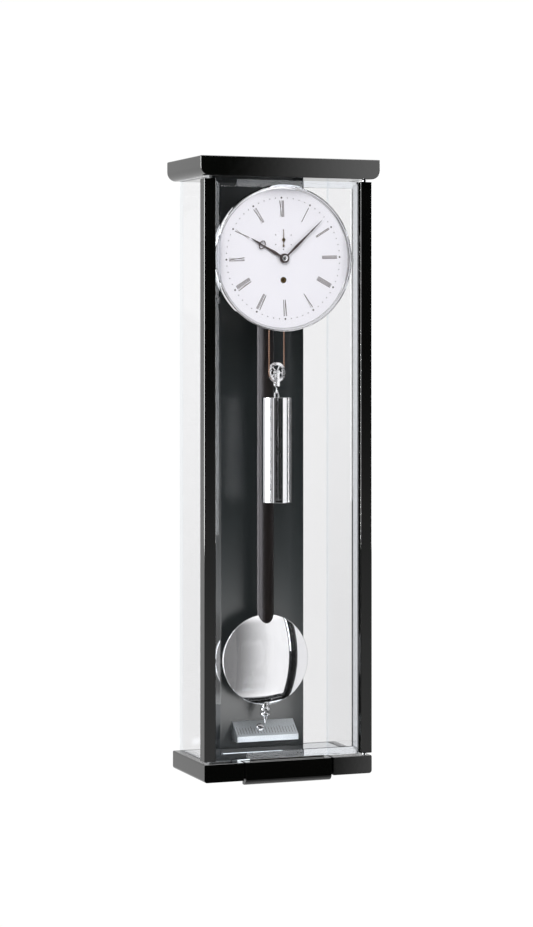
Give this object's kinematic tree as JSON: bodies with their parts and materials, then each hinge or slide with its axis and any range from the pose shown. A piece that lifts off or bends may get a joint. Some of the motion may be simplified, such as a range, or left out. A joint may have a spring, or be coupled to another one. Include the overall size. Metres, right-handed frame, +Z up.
{
  "type": "wall regulator clock",
  "caption": "Slim wall-hung pendulum clock: gloss black cornice and base, glass sides, glazed hinged door, round white dial, chrome driving weight on a pulley, long pendulum with a lens bob",
  "frame": {"origin": "centre of the bounding box's footprint, at the height of the door pull's underside", "axes": "+Z up the case, -Y out of the dial towards the viewer, +Y into the wall, +X to the viewer's right"},
  "size_m": [0.252, 0.14, 0.8215],
  "materials": {
    "lacquer": "deep black high-gloss lacquer",
    "panel_lacquer": "dark grey-black high-gloss lacquer",
    "clear_glass": "clear polished plate glass",
    "mirror": "silvered mirror glass",
    "polished_steel": "mirror-polished chrome",
    "plain_steel": "finely brushed steel",
    "brass": "polished lacquered brass",
    "dial_white": "matt white enamel with printed numerals",
    "hand_brown": "dark brown polished hands",
    "hand_gold": "gold-brown seconds hand",
    "rod_wood": "dark polished wood",
    "cable": "copper-brown twisted cable",
    "silvered": "satin silvered metal"
  },
  "bodies": {
    "case": {"cornice": "lacquer", "base": "lacquer", "mirror_floor": "mirror", "back_panel": "panel_lacquer", "back_glass_left": "clear_glass", "back_glass_right": "clear_glass", "side_glass_left": "clear_glass", "side_glass_right": "clear_glass", "wall_spacer_left": "plain_steel", "wall_spacer_right": "plain_steel", "wall_hanger": "plain_steel", "hinge_pin_bottom": "plain_steel", "hinge_pin_top": "plain_steel", "movement_front_plate": "brass", "movement_back_plate": "brass", "movement_pillar_lower_left": "plain_steel", "movement_pillar_upper_left": "plain_steel", "movement_pillar_lower_right": "plain_steel", "movement_pillar_upper_right": "plain_steel", "cable_post": "plain_steel", "dial": "dial_white", "bezel": "polished_steel", "suspension_cock": "brass", "cable_fixed_strand": "cable", "cable_drum_strand": "cable", "beat_scale": "silvered", "beat_scale_screw": "polished_steel"},
    "door": {"door_post_left": "lacquer", "door_post_right": "lacquer", "door_glass": "clear_glass", "door_pull": "lacquer"},
    "pendulum": {"suspension_spring": "plain_steel", "pendulum_rod": "rod_wood", "pendulum_bob": "polished_steel", "rating_nut": "polished_steel", "lock_nut": "polished_steel", "rating_screw": "polished_steel"},
    "anchor": {"pallet_anchor": "plain_steel", "crutch": "plain_steel"},
    "centre": {"centre_wheel": "brass", "cannon_pinion": "plain_steel", "minute_hand": "hand_brown", "hand_nut": "polished_steel"},
    "third": {"third_wheel": "brass"},
    "escape": {"escape_wheel": "brass", "seconds_hand": "hand_gold"},
    "intermediate": {"intermediate_wheel": "brass"},
    "great": {"great_wheel": "brass"},
    "click": {"click": "plain_steel"},
    "minute_work": {"minute_wheel": "brass"},
    "hour": {"hour_wheel": "brass", "hour_hand": "hand_brown"},
    "weight": {"weight": "polished_steel", "weight_eye": "polished_steel", "weight_hook": "polished_steel", "pulley_stirrup": "polished_steel", "cable_pulley_loop": "cable"},
    "pulley": {"pulley": "polished_steel"},
    "drum": {"winding_drum": "brass"}
  },
  "joints": [
    {"name": "door_hinge", "type": "hinge", "parent": "case", "child": "door", "pos_m": [0.11, -0.0525, 0.413], "axis": [0, 0, 1], "range_deg": [0, 110]},
    {"name": "pendulum_swing", "type": "hinge", "parent": "case", "child": "pendulum", "pos_m": [0, 0.028, 0.739], "axis": [0, 1, 0], "range_deg": [-3, 3]},
    {"name": "anchor_rock", "type": "hinge", "parent": "case", "child": "anchor", "pos_m": [0, -0.01, 0.739], "axis": [0, 1, 0], "range_deg": [-3, 3]},
    {"name": "centre_turn", "type": "hinge", "parent": "case", "child": "centre", "pos_m": [0, -0.01, 0.6903], "axis": [0, 1, 0], "continuous": true},
    {"name": "third_turn", "type": "hinge", "parent": "case", "child": "third", "pos_m": [-0.01704, -0.01, 0.70358], "axis": [0, 1, 0], "continuous": true},
    {"name": "escape_turn", "type": "hinge", "parent": "case", "child": "escape", "pos_m": [0, -0.01, 0.7148], "axis": [0, 1, 0], "continuous": true},
    {"name": "intermediate_turn", "type": "hinge", "parent": "case", "child": "intermediate", "pos_m": [0.02036, -0.01, 0.68197], "axis": [0, 1, 0], "continuous": true},
    {"name": "great_turn", "type": "hinge", "parent": "case", "child": "great", "pos_m": [0, -0.01, 0.6616], "axis": [0, 1, 0], "continuous": true},
    {"name": "minute_work_turn", "type": "hinge", "parent": "case", "child": "minute_work", "pos_m": [0.012, -0.032, 0.6903], "axis": [0, 1, 0], "continuous": true},
    {"name": "hour_turn", "type": "hinge", "parent": "case", "child": "hour", "pos_m": [0, -0.038, 0.6903], "axis": [0, 1, 0], "continuous": true},
    {"name": "click_lift", "type": "hinge", "parent": "great", "child": "click", "pos_m": [-0.0155, -0.006, 0.6731], "axis": [0, 1, 0], "range_deg": [0, 12]},
    {"name": "weight_travel", "type": "slide", "parent": "case", "child": "weight", "axis": [0, 0, 1], "range_m": [-0.3, 0.04], "deforming": ["cable_fixed_strand", "cable_drum_strand"]},
    {"name": "pulley_turn", "type": "hinge", "parent": "weight", "child": "pulley", "pos_m": [0, -0.015, 0.5396], "axis": [-0.2588, 0.9659, 0], "range_deg": [-190, 1412]},
    {"name": "drum_turn", "type": "hinge", "parent": "case", "child": "drum", "pos_m": [0, -0.014, 0.6616], "axis": [0, 1, 0], "range_deg": [-392, 2920]}
  ],
  "couplings": [
    {"joint": "anchor_rock", "follows": "pendulum_swing", "ratio": 1},
    {"joint": "third_turn", "follows": "centre_turn", "ratio": -8},
    {"joint": "escape_turn", "follows": "centre_turn", "ratio": 60},
    {"joint": "intermediate_turn", "follows": "centre_turn", "ratio": -0.25},
    {"joint": "great_turn", "follows": "centre_turn", "ratio": 0.05},
    {"joint": "minute_work_turn", "follows": "centre_turn", "ratio": -0.33333},
    {"joint": "hour_turn", "follows": "centre_turn", "ratio": 0.083333},
    {"joint": "pulley_turn", "follows": "weight_travel", "rad_per_m": -81.967},
    {"joint": "drum_turn", "follows": "weight_travel", "rad_per_m": -169.72}
  ]
}
